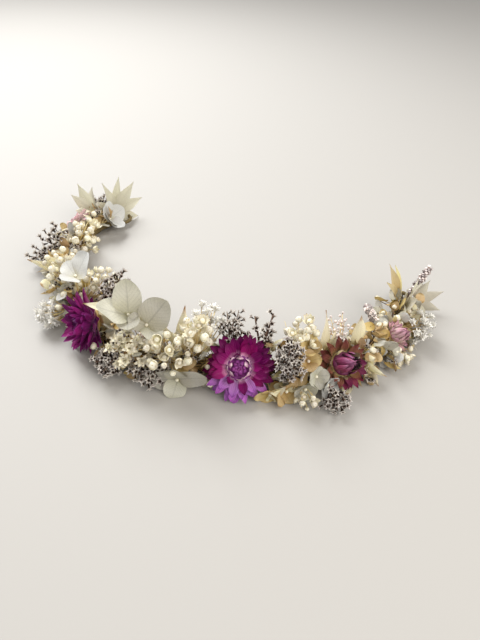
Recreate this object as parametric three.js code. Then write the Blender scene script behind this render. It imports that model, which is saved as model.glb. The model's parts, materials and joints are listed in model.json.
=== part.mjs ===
// A half flower crown: dried flowers and leaves bound along a bent, tape-wrapped wire.
// Millimetres, +Z up. The crown lies flat and opens towards +Y, where the back of the head would be.
// A place along the crown is given by its distance from the left end, measured along the wire.
// Around the wire a place is given by its fan angle: 0 points away from the head, 90 points up.
import * as THREE from "three";

// ---- driving dimensions ----

// The wire's line seen from above: hand-bent, so its points are a plain list.
const WIRE_LINE = [
  [-63, 57],
  [-77, 47.5],
  [-84, 31.5],
  [-84, 10],
  [-71, -24.5],
  [-46, -46.5],
  [-21, -53],
  [3, -54.5],
  [24, -53],
  [43, -49],
  [58, -41],
  [68.5, -28.5],
  [78, -10],
  [83.5, 6],
];

const TAPE_RADIUS = 3; // centre to flat of the wrapped stems and tape
const TAPE_BORE_RADIUS = 1.3;
const WIRE_RADIUS = 0.8;
const WIRE_HEIGHT = TAPE_RADIUS; // the tape's flat underside lies at z = 0
const SWEEP_STEP = 5; // length of one straight step along the wire

const EYE_RADIUS = 4.6; // centre of the wire eye to the centre of its wire
const EYE_WIRE_RADIUS = 1.1;
const EYE_SETBACK = 7; // from the end of the line to the middle of the eye
const TOUCH_GAP = 0.4; // between pieces that touch

const LEFT_BEND = 75; // the two places where the wire bends most easily
const RIGHT_BEND = 234;
const BEND_GAP = 0.85; // from a bend's axis to the tape on each side

const GLUE_RADIUS = 3.6;
const GLUE_TOP_RADIUS = 2.5;
const GLUE_THICKNESS = 2; // behind most heads
const GLUE_GAP = 0.6; // from the tape to a pad that lies flat on it

const PLATE_THICKNESS = 1.2; // leaves and sepals
const STEM_BASE = 4.5; // from the wire's centre to where most sprigs begin
const STALK_RADIUS = 0.5;
const FLORET_RISE = 1.5; // from the middle of a floret's cupped face to its edge

const WIRE_SIDES = 6;
const TAPE_SIDES = 8;
const HEAD_SIDES = 16;
const PAD_SIDES = 12;
const BUNCH_SIDES = 8;
const FLORET_SIDES = 16;

// ---- the line of the wire ----

const line = new THREE.CatmullRomCurve3(
  WIRE_LINE.map(([x, y]) => new THREE.Vector3(x, y, 0)),
  false,
  "centripetal",
);
line.arcLengthDivisions = 600;
const LINE_LENGTH = line.getLength();

// The point on the wire's centre at a distance along it, with the directions along it and away from the head.
function station(distance) {
  const share = THREE.MathUtils.clamp(distance / LINE_LENGTH, 0, 1);
  const point = line.getPointAt(share);
  point.z = WIRE_HEIGHT;
  const along = line.getTangentAt(share).setZ(0).normalize();
  const outward = new THREE.Vector3(along.y, -along.x, 0);
  return { point, along, outward };
}

class WireStretch extends THREE.Curve {
  constructor(start, end) {
    super();
    this.start = start;
    this.end = end;
  }

  getPoint(share, target = new THREE.Vector3()) {
    return target.copy(station(this.start + share * (this.end - this.start)).point);
  }
}

// ---- materials ----

function finish(color, roughness) {
  return new THREE.MeshStandardMaterial({ color, roughness, metalness: 0 });
}

const LOOKS = {
  wire: new THREE.MeshStandardMaterial({ color: "#8a8178", roughness: 0.45, metalness: 0.9 }),
  tape: finish("#7a6c4e", 0.85),
  glue: finish("#d9d2bd", 0.4),
  magenta: finish("#8d2a86", 0.6),
  burgundy: finish("#8a4657", 0.6),
  pink: finish("#c79aa4", 0.65),
  limonium_sprig: finish("#8d7f70", 0.8),
  bud_spray: finish("#d6d2b2", 0.75),
  pearl_spray: finish("#d9c9c0", 0.7),
  hydrangea_floret: finish("#c4c1a6", 0.75),
  leaf_sprig: finish("#dad2ad", 0.7),
  statice_tuft: finish("#e6e3dc", 0.9),
  mottled_spike: finish("#a8998b", 0.85),
};

// ---- wire, tape and eyes ----

function ring(radius, sides) {
  const turn = (2 * Math.PI) / sides;
  return Array.from({ length: sides }, (_, i) => {
    const angle = (i + 0.5) * turn;
    return new THREE.Vector2(radius * Math.cos(angle), radius * Math.sin(angle));
  });
}

function sweep(shape, start, end) {
  return new THREE.ExtrudeGeometry(shape, {
    extrudePath: new WireStretch(start, end),
    steps: Math.ceil((end - start) / SWEEP_STEP),
    bevelEnabled: false,
  });
}

function coreWire(start, end) {
  return sweep(new THREE.Shape(ring(WIRE_RADIUS, WIRE_SIDES)), start, end);
}

function tapeWrap(start, end) {
  const outline = new THREE.Shape(ring(TAPE_RADIUS / Math.cos(Math.PI / TAPE_SIDES), TAPE_SIDES));
  outline.holes.push(new THREE.Path(ring(TAPE_BORE_RADIUS, WIRE_SIDES)));
  return sweep(outline, start, end);
}

function wireEye() {
  return new THREE.TorusGeometry(EYE_RADIUS, EYE_WIRE_RADIUS, WIRE_SIDES, HEAD_SIDES);
}

// ---- flower heads ----

// A round head that faces along its own +Z, with its back at z = 0.
function headGeometry(radius, depth) {
  const profile = [
    [0, 0],
    [0.3 * radius, 0],
    [0.72 * radius, 0.22 * depth],
    [radius, 0.6 * depth],
    [0.92 * radius, 0.72 * depth],
    [0.5 * radius, 0.9 * depth],
    [0.25 * radius, depth],
    [0, depth],
  ];
  return new THREE.LatheGeometry(profile.map(([r, h]) => new THREE.Vector2(r, h)), HEAD_SIDES)
    .rotateX(Math.PI / 2);
}

function gluePad(thickness) {
  return new THREE.CylinderGeometry(GLUE_TOP_RADIUS, GLUE_RADIUS, thickness, PAD_SIDES).rotateX(Math.PI / 2);
}

// ---- foliage ----

// A bunch that widens from its stem and ends in a rounded crown, along +Z from 0 to its length.
function bunchGeometry({ length, width, spread }) {
  const profile = [
    [0, 0],
    [0.45, 0.06],
    [0.85, 0.35],
    [1, 0.65],
    [0.72, 0.92],
    [0, 1],
  ];
  return new THREE.LatheGeometry(profile.map(([r, h]) => new THREE.Vector2(r, h)), BUNCH_SIDES)
    .rotateX(Math.PI / 2)
    .scale(spread / 2, width / 2, length);
}

// A pointed leaf along +Z from 0 to its length, its face towards -Y.
function leafGeometry({ length, width }) {
  const outline = new THREE.Shape();
  outline.moveTo(-0.06 * width, 0);
  outline.quadraticCurveTo(-0.72 * width, 0.4 * length, 0, length);
  outline.quadraticCurveTo(0.72 * width, 0.4 * length, 0.06 * width, 0);
  outline.closePath();
  return new THREE.ExtrudeGeometry(outline, {
    depth: PLATE_THICKNESS,
    steps: 1,
    bevelEnabled: false,
    curveSegments: 6,
  })
    .translate(0, 0, -PLATE_THICKNESS / 2)
    .rotateX(Math.PI / 2);
}

// A four-lobed floret on a thin stalk: its face looks along +Z, and the stalk's end is at z = 0.
function floretGeometry({ length, width, spread }) {
  const profile = [
    [0, 0],
    [STALK_RADIUS, 0],
    [STALK_RADIUS, length - FLORET_RISE - PLATE_THICKNESS],
    [0.5, length - PLATE_THICKNESS],
    [0.5, length],
    [0, length - FLORET_RISE],
  ];
  const stalkRows = 3;
  const geometry = new THREE.LatheGeometry(profile.map(([r, h]) => new THREE.Vector2(r, h)), FLORET_SIDES);
  const position = geometry.getAttribute("position");
  for (let i = 0; i < position.count; i += 1) {
    if (i % profile.length < stalkRows) continue;
    const angle = Math.atan2(position.getX(i), position.getZ(i));
    const lobe = 0.78 + 0.22 * Math.abs(Math.cos(2 * angle));
    position.setX(i, position.getX(i) * spread * lobe);
    position.setZ(i, position.getZ(i) * width * lobe);
  }
  return geometry.rotateX(Math.PI / 2);
}

// ---- the pieces along the crown ----

// at: distance along the wire. fan: angle round the wire. lean: tilt along the wire, towards the right end.
// radius and depth are the head's own. glue: how thick its glue pad is, where it isn't the usual thickness.
// facing: the way the head looks, where that isn't straight out from its pad.
const HEADS = [
  { name: "pink_left", look: "pink", at: 31, fan: 48, radius: 8.5, depth: 8, lean: 0 },
  {
    name: "magenta_left",
    look: "magenta",
    at: 117,
    fan: 102,
    radius: 12.8,
    depth: 11.5,
    lean: 0,
    glue: 8.5,
    facing: { fan: 16, lean: -17 },
  },
  { name: "magenta_centre", look: "magenta", at: 178, fan: 48, radius: 13.5, depth: 11.5, lean: 0 },
  { name: "burgundy_right", look: "burgundy", at: 217, fan: 50, radius: 11, depth: 10.5, lean: 6 },
  { name: "pink_right", look: "pink", at: 247, fan: 52, radius: 7.5, depth: 9, lean: 0 },
];

// from and to: distances from the wire's centre to the near and far end of the piece.
// width: size round the wire. spread: size along the wire. lean as above. turn: about the piece's own line.
const FOLIAGE = [
  { kind: "leaf_sprig", at: 9, fan: 66, from: 5, to: 24, width: 9, lean: -26, turn: 20 },
  { kind: "limonium_sprig", at: 16, fan: 18, from: STEM_BASE, to: 19, width: 9, spread: 15, lean: -15 },
  { kind: "leaf_sprig", at: 21, fan: 52, from: STEM_BASE, to: 25, width: 9, lean: -6, turn: 10 },
  { kind: "hydrangea_floret", at: 26, fan: 140, from: STEM_BASE, to: 11.6, width: 13, spread: 13, lean: 0 },
  { kind: "bud_spray", at: 51, fan: 122, from: STEM_BASE, to: 19, width: 12, spread: 20, lean: 6 },
  { kind: "limonium_sprig", at: 53, fan: 62, from: STEM_BASE, to: 21, width: 13, spread: 13, lean: 10 },
  { kind: "limonium_sprig", at: 58, fan: 15, from: STEM_BASE, to: 21, width: 8, spread: 11, lean: -4 },
  { kind: "leaf_sprig", at: 69, fan: 32, from: STEM_BASE, to: 21, width: 8, lean: 0, turn: 80 },
  { kind: "bud_spray", at: 85, fan: 82, from: STEM_BASE, to: 23, width: 13, spread: 14, lean: -6 },
  { kind: "statice_tuft", at: 97, fan: 14, from: STEM_BASE, to: 17, width: 8, spread: 12, lean: -6 },
  { kind: "hydrangea_floret", at: 98, fan: 92, from: STEM_BASE, to: 23.6, width: 14, spread: 12, lean: 0 },
  { kind: "bud_spray", at: 99.5, fan: 130, from: STEM_BASE, to: 23, width: 11, spread: 14, lean: 0 },
  { kind: "limonium_sprig", at: 112, fan: 122, from: 7, to: 28, width: 9, spread: 9, lean: 0 },
  { kind: "hydrangea_floret", at: 132, fan: 84, from: STEM_BASE, to: 25.6, width: 17, spread: 17, lean: 10 },
  { kind: "limonium_sprig", at: 129, fan: 14, from: STEM_BASE, to: 19, width: 8, spread: 11, lean: 8 },
  { kind: "statice_tuft", at: 136, fan: 50, from: STEM_BASE, to: 20, width: 11, spread: 12, lean: 6 },
  { kind: "pearl_spray", at: 142, fan: 108, from: STEM_BASE, to: 22, width: 10, spread: 12, lean: 0 },
  { kind: "limonium_sprig", at: 145, fan: 14, from: STEM_BASE, to: 18, width: 8, spread: 13, lean: 0 },
  { kind: "bud_spray", at: 150, fan: 56, from: STEM_BASE, to: 25, width: 13, spread: 15, lean: 6 },
  { kind: "hydrangea_floret", at: 156, fan: 14, from: STEM_BASE, to: 16.6, width: 11, spread: 11, lean: 0 },
  { kind: "leaf_sprig", at: 153, fan: 92, from: STEM_BASE, to: 30, width: 8, lean: 8, turn: 10 },
  { kind: "bud_spray", at: 161, fan: 76, from: 14, to: 28, width: 12, spread: 10, lean: 0 },
  { kind: "statice_tuft", at: 163, fan: 116, from: STEM_BASE, to: 23.5, width: 10, spread: 11, lean: 0 },
  { kind: "limonium_sprig", at: 174, fan: 114, from: STEM_BASE, to: 25, width: 9, spread: 10, lean: 0 },
  { kind: "hydrangea_floret", at: 190, fan: 3, from: STEM_BASE, to: 16.6, width: 7, spread: 13, lean: 6 },
  { kind: "limonium_sprig", at: 187, fan: 107, from: STEM_BASE, to: 26, width: 10, spread: 12, lean: 0 },
  { kind: "limonium_sprig", at: 196, fan: 58, from: STEM_BASE, to: 26, width: 13, spread: 8, lean: 0 },
  { kind: "bud_spray", at: 201, fan: 96, from: STEM_BASE, to: 23.5, width: 10, spread: 11, lean: 6 },
  { kind: "hydrangea_floret", at: 203.5, fan: 38, from: STEM_BASE, to: 16.6, width: 13, spread: 6, lean: 0 },
  { kind: "bud_spray", at: 202, fan: 4, from: 11, to: 21, width: 6, spread: 7, lean: 0 },
  { kind: "limonium_sprig", at: 212, fan: 3, from: 15.5, to: 23, width: 6, spread: 10, lean: 0 },
  { kind: "leaf_sprig", at: 214, fan: 112, from: STEM_BASE, to: 25, width: 9, lean: 0, turn: 10 },
  { kind: "pearl_spray", at: 221, fan: 128, from: STEM_BASE, to: 21, width: 9, spread: 9, lean: 8 },
  { kind: "leaf_sprig", at: 229, fan: 24, from: STEM_BASE, to: 20, width: 8, lean: -6, turn: 90 },
  { kind: "bud_spray", at: 244, fan: 5, from: 5, to: 14, width: 5, spread: 8, lean: 0 },
  { kind: "leaf_sprig", at: 228, fan: 100, from: STEM_BASE, to: 22, width: 7, lean: 4, turn: 10 },
  { kind: "mottled_spike", at: 258, fan: 128, from: 6, to: 25, width: 5.5, spread: 6, lean: -46 },
  { kind: "statice_tuft", at: 260, fan: 24, from: STEM_BASE, to: 16, width: 10, spread: 14, lean: 0 },
  { kind: "leaf_sprig", at: 262, fan: 76, from: STEM_BASE, to: 24, width: 9, lean: 14, turn: 10 },
  { kind: "leaf_sprig", at: 272, fan: 112, from: STEM_BASE, to: 28, width: 9, lean: -10, turn: 0 },
  { kind: "mottled_spike", at: 279, fan: 66, from: STEM_BASE, to: 21, width: 7, spread: 6, lean: 14 },
  { kind: "leaf_sprig", at: 276, fan: 22, from: STEM_BASE, to: 22, width: 9, lean: 24, turn: 70 },
];

// A group at the wire whose +Z points along the fan angle and lean, +X along the wire.
function holderAt({ at, fan, lean = 0, turn = 0 }) {
  const { point, along, outward } = station(at);
  const angle = THREE.MathUtils.degToRad(fan);
  const out = outward.multiplyScalar(Math.cos(angle)).add(new THREE.Vector3(0, 0, Math.sin(angle)));
  const holder = new THREE.Group();
  const across = new THREE.Vector3().crossVectors(out, along);
  holder.quaternion.setFromRotationMatrix(new THREE.Matrix4().makeBasis(along, across, out));
  holder.rotateY(THREE.MathUtils.degToRad(lean));
  holder.rotateZ(THREE.MathUtils.degToRad(turn));
  holder.position.copy(point);
  return holder;
}

function axisOf(holder) {
  return new THREE.Vector3(0, 0, 1).applyQuaternion(holder.quaternion);
}

const crown = new THREE.Group();

function addMesh(parent, name, geometry, look) {
  const mesh = new THREE.Mesh(geometry, LOOKS[look]);
  mesh.name = name;
  parent.add(mesh);
  return mesh;
}

function addWireAndTape() {
  const tapeEnd = EYE_SETBACK + EYE_RADIUS + EYE_WIRE_RADIUS + TOUCH_GAP;
  const stretches = [
    ["left", tapeEnd, LEFT_BEND - BEND_GAP],
    ["middle", LEFT_BEND + BEND_GAP, RIGHT_BEND - BEND_GAP],
    ["right", RIGHT_BEND + BEND_GAP, LINE_LENGTH - tapeEnd],
  ];
  for (const [place, start, end] of stretches) {
    addMesh(crown, `core_wire_${place}`, coreWire(start, end), "wire");
    addMesh(crown, `tape_wrap_${place}`, tapeWrap(start, end), "tape");
  }
}

function addEyes() {
  const places = { left: EYE_SETBACK, right: LINE_LENGTH - EYE_SETBACK };
  for (const [place, distance] of Object.entries(places)) {
    const eye = addMesh(crown, `wire_eye_${place}`, wireEye(), "wire");
    eye.position.copy(station(distance).point);
  }
}

function addHeads() {
  for (const head of HEADS) {
    const { glue = GLUE_THICKNESS, facing = head } = head;
    const holder = holderAt(head);
    const tiltedEdge = GLUE_RADIUS * Math.abs(Math.sin(THREE.MathUtils.degToRad(head.lean)));
    holder.translateZ(TAPE_RADIUS + GLUE_GAP + tiltedEdge + glue / 2);
    crown.add(holder);
    addMesh(holder, `glue_pad_${head.name}`, gluePad(glue), "glue");
    const flowerHolder = holderAt({ at: head.at, ...facing });
    const turned = axisOf(holder).angleTo(axisOf(flowerHolder));
    const reach = GLUE_TOP_RADIUS * Math.sin(turned) + (glue / 2) * Math.cos(turned) + TOUCH_GAP;
    flowerHolder.position.copy(holder.position);
    flowerHolder.translateZ(reach);
    crown.add(flowerHolder);
    addMesh(flowerHolder, `strawflower_${head.name}`, headGeometry(head.radius, head.depth), head.look);
  }
}

function foliageGeometry(piece) {
  const size = { ...piece, length: piece.to - piece.from };
  if (piece.kind === "leaf_sprig") return leafGeometry(size);
  if (piece.kind === "hydrangea_floret") return floretGeometry(size);
  return bunchGeometry(size);
}

function addFoliage() {
  const count = {};
  for (const piece of FOLIAGE) {
    count[piece.kind] = (count[piece.kind] ?? 0) + 1;
    const holder = holderAt(piece);
    crown.add(holder);
    const mesh = addMesh(holder, `${piece.kind}_${count[piece.kind]}`, foliageGeometry(piece), piece.kind);
    mesh.position.z = piece.from;
  }
}

addWireAndTape();
addEyes();
addHeads();
addFoliage();

// The part's origin is the middle of its box, at the level it rests on.
const box = new THREE.Box3().setFromObject(crown, true);
crown.position.set(-(box.min.x + box.max.x) / 2, -(box.min.y + box.max.y) / 2, 0);

const flowerCrown = new THREE.Group();
flowerCrown.add(crown);

export default flowerCrown;
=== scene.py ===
"""The finished look of a dried-flower half crown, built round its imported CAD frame. Metres, +Z up."""
import json
from collections import namedtuple
from math import cos, pi, radians, sin, sqrt

import bpy
import numpy as np
from mathutils import Matrix, Vector


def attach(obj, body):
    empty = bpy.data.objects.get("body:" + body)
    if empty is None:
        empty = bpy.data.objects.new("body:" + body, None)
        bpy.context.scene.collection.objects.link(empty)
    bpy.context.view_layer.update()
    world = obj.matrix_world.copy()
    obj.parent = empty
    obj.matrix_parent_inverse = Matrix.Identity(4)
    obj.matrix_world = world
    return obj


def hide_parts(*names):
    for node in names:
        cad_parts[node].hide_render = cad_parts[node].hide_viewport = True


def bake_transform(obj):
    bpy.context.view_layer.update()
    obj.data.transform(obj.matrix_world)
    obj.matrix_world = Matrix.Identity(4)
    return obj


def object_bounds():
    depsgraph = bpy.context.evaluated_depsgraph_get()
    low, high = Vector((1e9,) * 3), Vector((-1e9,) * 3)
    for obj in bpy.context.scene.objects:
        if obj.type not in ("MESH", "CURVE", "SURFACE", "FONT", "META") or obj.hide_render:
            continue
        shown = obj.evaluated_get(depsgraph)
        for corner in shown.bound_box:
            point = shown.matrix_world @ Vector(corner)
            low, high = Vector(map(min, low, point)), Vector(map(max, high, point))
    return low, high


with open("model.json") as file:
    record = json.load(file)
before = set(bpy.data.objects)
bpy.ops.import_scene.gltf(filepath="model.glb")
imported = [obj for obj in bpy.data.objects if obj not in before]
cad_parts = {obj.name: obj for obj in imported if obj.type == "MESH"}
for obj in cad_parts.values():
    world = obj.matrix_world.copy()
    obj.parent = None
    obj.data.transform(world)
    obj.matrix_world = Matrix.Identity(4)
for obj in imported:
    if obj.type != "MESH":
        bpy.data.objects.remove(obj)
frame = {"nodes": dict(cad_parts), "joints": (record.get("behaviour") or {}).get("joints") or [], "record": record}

MM = 0.001
GOLDEN_ANGLE = pi * (3 - sqrt(5))
UP = np.array([0.0, 0.0, 1.0])
ABOUT_UP = UP + 0.01  # a hint of which way is up that also serves a stalk that stands straight up
FLOOR_GAP = 0.1 * MM  # nothing reaches lower than this above the surface it lies on
SOFT_LANDING = 1.5 * MM  # whatever hangs lower than this is squeezed towards that gap, and keeps its thickness

cad_low, cad_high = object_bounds()
BODIES = frame["record"]["behaviour"]["bodies"]
BODY_OF = {node: body for body, nodes in BODIES.items() for node in nodes}
JOINTS = {joint["name"]: joint for joint in frame["joints"]}
CORE_WIRES = "core_wire_left", "core_wire_middle", "core_wire_right"


def add_object(name, data):
    thing = bpy.data.objects.new(name, data)
    bpy.context.scene.collection.objects.link(thing)
    return thing


# ---- camera ----

CAMERA_RIGHT = 4.8 * MM  # from the middle of the crown's box, at the level it lies on
CAMERA_BACK = 183.2 * MM
CAMERA_UP = 150 * MM
CAMERA_PITCH = radians(42.3)  # below the horizontal
CAMERA_ROLL = radians(4.36)
CAMERA_LENS = 27.06
SENSOR = 36
CLIP = 0.01, 20


def make_camera():
    data = bpy.data.cameras.new("camera")
    data.sensor_width = SENSOR
    data.lens = CAMERA_LENS
    data.clip_start, data.clip_end = CLIP
    camera = add_object("camera", data)
    middle = (cad_low + cad_high) / 2
    place = Matrix.Translation((middle.x + CAMERA_RIGHT, middle.y - CAMERA_BACK, cad_low.z + CAMERA_UP))
    turn = Matrix.Rotation(pi / 2 - CAMERA_PITCH, 4, "X") @ Matrix.Rotation(CAMERA_ROLL, 4, "Z")
    camera.matrix_world = place @ turn
    bpy.context.scene.camera = camera


make_camera()


# ---- small vector helpers ----

def unit(v):
    v = np.asarray(v, float)
    return v / np.maximum(np.linalg.norm(v, axis=-1, keepdims=True), 1e-12)


def mix(a, b, share):
    return a + (b - a) * share


def across_of(axis, hint):
    """A unit direction at right angles to axis, as near to hint as it can be."""
    side = hint - axis * np.dot(hint, axis)
    if np.linalg.norm(side) < 1e-6:
        side = np.cross(axis, [0.31, 0.52, 0.79])
    return unit(side)


def about(axis, side, turn):
    """side, which is square to axis, turned about it."""
    return cos(turn) * side + sin(turn) * np.cross(axis, side)


def leaning(axis, outward, lean):
    """The way that leans out from axis by an angle, or by each of a row of angles, and the way square to it."""
    lean = np.asarray(lean)[..., None]
    return np.sin(lean) * outward + np.cos(lean) * axis, np.sin(lean) * axis - np.cos(lean) * outward


def ways_along(path):
    return unit(np.gradient(path, axis=0))


def distances_along(path):
    return np.concatenate([[0], np.cumsum(np.linalg.norm(np.diff(path, axis=0), axis=1))])


def bezier(start, control, end, rows):
    """Points on a curve: rows is how many, or how far along it each one is."""
    t = np.linspace(0, 1, rows)[:, None] if isinstance(rows, int) else rows[:, None]
    return (1 - t) ** 2 * start + 2 * t * (1 - t) * control + t ** 2 * end


def on_path(path, place):
    """The point that lies place steps along a path, and the step that it lies in."""
    step = min(int(place), len(path) - 2)
    return mix(path[step], path[step + 1], place - step), step


# ---- the wire's line, read from the core wires ----

def node_points(node):
    mesh = frame["nodes"][node].data
    points = np.empty(len(mesh.vertices) * 3)
    mesh.vertices.foreach_get("co", points)
    return points.reshape(-1, 3)


class Wire:
    """The line through the middle of the wire, from the left end to the right, by distance along it."""

    RING_GAP = radians(0.6)  # seen from the middle of the crown, rings lie further apart than this
    MIDDLE_BACK = 20 * MM  # from the mean of the wire's points to a point well inside the crown
    REACH = 4 * MM  # the line's direction is taken between points this far before and after
    BEYOND = 12 * MM  # how far past the ends a nearest point may lie
    TRIALS = 800

    def __init__(self):
        points = np.vstack([node_points(node) for node in CORE_WIRES])
        middle = points.mean(0) + [0, self.MIDDLE_BACK, 0]
        angle = np.arctan2(points[:, 0] - middle[0], middle[1] - points[:, 1])
        order = np.argsort(angle)
        breaks = np.nonzero(np.diff(angle[order]) > self.RING_GAP)[0] + 1
        self.line = np.array([points[ring].mean(0) for ring in np.split(order, breaks)])
        self.distance = distances_along(self.line)
        self.length = self.distance[-1]

    def _point(self, distance):
        inside = np.clip(distance, 0, self.length)
        return np.stack([np.interp(inside, self.distance, self.line[:, k]) for k in range(3)], -1)

    def along(self, distance):
        inside = np.clip(np.asarray(distance, float), 0, self.length)
        return unit(self._point(inside + self.REACH) - self._point(inside - self.REACH))

    def at(self, distance):
        """The point at a distance. Past the ends, the line runs straight on."""
        distance = np.asarray(distance, float)
        beyond = distance - np.clip(distance, 0, self.length)
        return self._point(distance) + beyond[..., None] * self.along(distance)

    def nearest(self, point):
        trial = np.linspace(-self.BEYOND, self.length + self.BEYOND, self.TRIALS)
        gap = np.linalg.norm(self.at(trial)[:, :2] - np.asarray(point)[:2], axis=1)
        return trial[gap.argmin()]

    def outward(self, distance):
        along = self.along(distance)
        return unit(np.stack([along[..., 1], -along[..., 0], np.zeros_like(along[..., 0])], -1))


wire = Wire()


# A CAD solid of round outline. along and across are square to its axis, and along follows the wire.
Turned = namedtuple("Turned", "points centre axis along across radius")


def turned(node, behind=None):
    """Finds the axis of a turned solid: the way in which its scatter is unlike the other two.

    behind is the point that the solid faces away from, by default the nearest one on the wire.
    """
    points = node_points(node)
    centre = points.mean(0)
    place = wire.nearest(centre)
    spread, ways = np.linalg.svd(points - centre, full_matrices=False)[1:]
    axis = ways[0] if spread[0] - spread[1] > spread[1] - spread[2] else ways[2]
    axis = axis * np.sign(axis @ (centre - (wire.at(place) if behind is None else behind)))
    along = across_of(axis, wire.along(place))
    radius = np.linalg.norm(np.cross(points - centre, axis), axis=1).max()
    return Turned(points, centre, axis, along, np.cross(axis, along), radius)


def turned_head(name):
    """A flower head, which faces away from its glue pad."""
    return turned(f"strawflower_{name}", node_points(f"glue_pad_{name}").mean(0))


# ---- bits of closed mesh ----

# points: n x 3. quads and tris: indices. tip: 0 at a bit's base to 1 at its end. side: -1 to 1 across it.
Shape = namedtuple("Shape", "points quads tris tip side")

NO_TRIS = np.zeros((0, 3), int)
RIM_ANGLE = radians(100)  # faces that meet more sharply than this, as at the rim of a sheet, aren't shaded as one


def moved(shape, origin, x, y, z):
    """The shape with its own axes laid along x, y and z, which also scale it."""
    return shape._replace(points=origin + shape.points @ np.array([x, y, z]))


def closed(rings, ends, tip):
    """A skin over rings of points, closed by one point at each end. tip has a value for every point."""
    count, sides = len(rings), len(rings[0])
    i = np.arange(count - 1)[:, None] * sides
    j = np.arange(sides)
    k = (j + 1) % sides
    quads = np.stack([i + j, i + k, i + k + sides, i + j + sides], -1).reshape(-1, 4)
    start, last = np.full(sides, count * sides), (count - 1) * sides
    tris = np.vstack([np.stack([start, k, j], -1), np.stack([start + 1, last + j, last + k], -1)])
    points = np.vstack([*rings, ends])
    return Shape(points, quads, tris, np.asarray(tip), np.zeros(len(points)))


def tube(path, radii, sides=5):
    """A closed tapered tube along a path."""
    path = np.asarray(path, float)
    radii = np.broadcast_to(radii, len(path))
    tangents = ways_along(path)
    side = across_of(tangents[0], ABOUT_UP)
    rings = []
    turn = np.arange(sides) * 2 * pi / sides
    for point, tangent, radius in zip(path, tangents, radii):
        side = across_of(tangent, side)
        other = np.cross(tangent, side)
        rings.append(point + radius * (np.outer(np.cos(turn), side) + np.outer(np.sin(turn), other)))
    tip = np.repeat(np.linspace(0, 1, len(path)), sides)
    return closed(rings, [path[0], path[-1]], [*tip, 0, 1])


def lathe(profile, sides, lobes=0, lobe_depth=0.0):
    """A closed turned shape about +Z: profile rows are radius and height, from the base point to the top point."""
    profile = np.asarray(profile, float)
    turn = np.arange(sides) * 2 * pi / sides
    radii, levels = profile[1:-1, :1], profile[1:-1, 1:]
    swell = 1 + lobe_depth * np.cos(lobes * turn)
    rings = np.stack([radii * np.cos(turn) * swell, radii * np.sin(turn) * swell, np.repeat(levels, sides, 1)], -1)
    tip = np.repeat(np.linspace(0, 1, len(profile))[1:-1], sides)
    return closed(rings, [[0, 0, profile[0, 1]], [0, 0, profile[-1, 1]]], [*tip, 0, 1])


def petal(spine, facing, across, half_width, cup, thickness, crease=2.0, sides=5, ripple=0.0, phase=0.0, rows=None):
    """A thin closed sheet along a spine, with facing and across the same all along it or given for each point.

    cup lifts its edges towards facing, and the nearer crease is to 1 the sharper it folds along its middle.
    ripple waves its edges, as a share of its width. rows are where along the sheet, from 0 to 1, the points lie.
    """
    count = len(spine)
    facing, across = np.broadcast_to(facing, (count, 3)), np.broadcast_to(across, (count, 3))
    v = np.linspace(-1, 1, sides)
    u = np.linspace(0, 1, count) if rows is None else rows
    half_width = np.asarray(half_width)
    lift = cup * half_width[:, None] * np.abs(v) ** crease
    lift = lift + ripple * half_width.max() * np.abs(v) * np.sin(9 * u[:, None] + 2.2 * v + phase)
    middle = spine[:, None] + across[:, None] * (half_width[:, None] * v)[..., None]
    middle = middle + facing[:, None] * lift[..., None]
    full = thickness / 2 * np.sqrt(np.maximum(1 - v ** 2, 0)) * np.minimum(1, 6 * np.sin(pi * u))[:, None]
    full = full * np.minimum(1, 6 * half_width / half_width.max())[:, None]
    full[[0, -1]] = 0
    top = middle + facing[:, None] * full[..., None]
    bottom = middle - facing[:, None] * full[..., None]
    upper = np.arange(count * sides).reshape(count, sides)
    lower = upper.copy()
    inner = (count - 2) * (sides - 2)
    lower[1:-1, 1:-1] = count * sides + np.arange(inner).reshape(count - 2, sides - 2)
    points = np.vstack([top.reshape(-1, 3), bottom[1:-1, 1:-1].reshape(-1, 3)])

    def grid(index, flip):
        cells = [index[:-1, :-1], index[:-1, 1:], index[1:, 1:], index[1:, :-1]]
        return np.stack(cells[::-1] if flip else cells, -1).reshape(-1, 4)

    inside = upper[1:-1, 1:-1].reshape(-1)
    tip, side = (np.append(row, row[inside]) for row in (np.repeat(u, sides), np.tile(v, count)))
    return Shape(points, np.vstack([grid(upper, False), grid(lower, True)]), NO_TRIS, tip, side)


def oval(count, fullness, skew):
    """Where the rows of a rounded sheet lie along it, and how wide each is, from 0 to 1."""
    rows = (1 - np.cos(np.linspace(0, pi, count))) / 2
    return rows, np.maximum(1 - np.abs(2 * rows ** skew - 1) ** fullness, 0) ** 0.55


def star_funnel(points=5, notch=0.46, throat=0.26, height=1.5):
    """A small papery calyx about +Z, one unit in radius: a tube that opens into a pointed star."""
    count = 2 * points
    turn = np.arange(count) * pi / points
    is_tip = np.arange(count) % 2 == 0

    def ring(radius, level):
        return np.stack([radius * np.cos(turn), radius * np.sin(turn), np.zeros(count) + level], -1)

    rings = [
        ring(0.16, 0),
        ring(throat, 0.55 * height),
        ring(np.where(is_tip, 1, notch), np.where(is_tip, 1, 0.86) * height),
        ring(0.8 * throat, 0.62 * height),
    ]
    # Inside, tip falls back to 0 at the funnel's deepest point, so the finish's dark base paints shade down the
    # throat.
    tip = [0] * count + [0.4] * count + [*np.where(is_tip, 1, 0.8)] + [0.3] * count
    return closed(rings, [[0, 0, 0], [0, 0, 0.3 * height]], [*tip, 0, 0])


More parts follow.
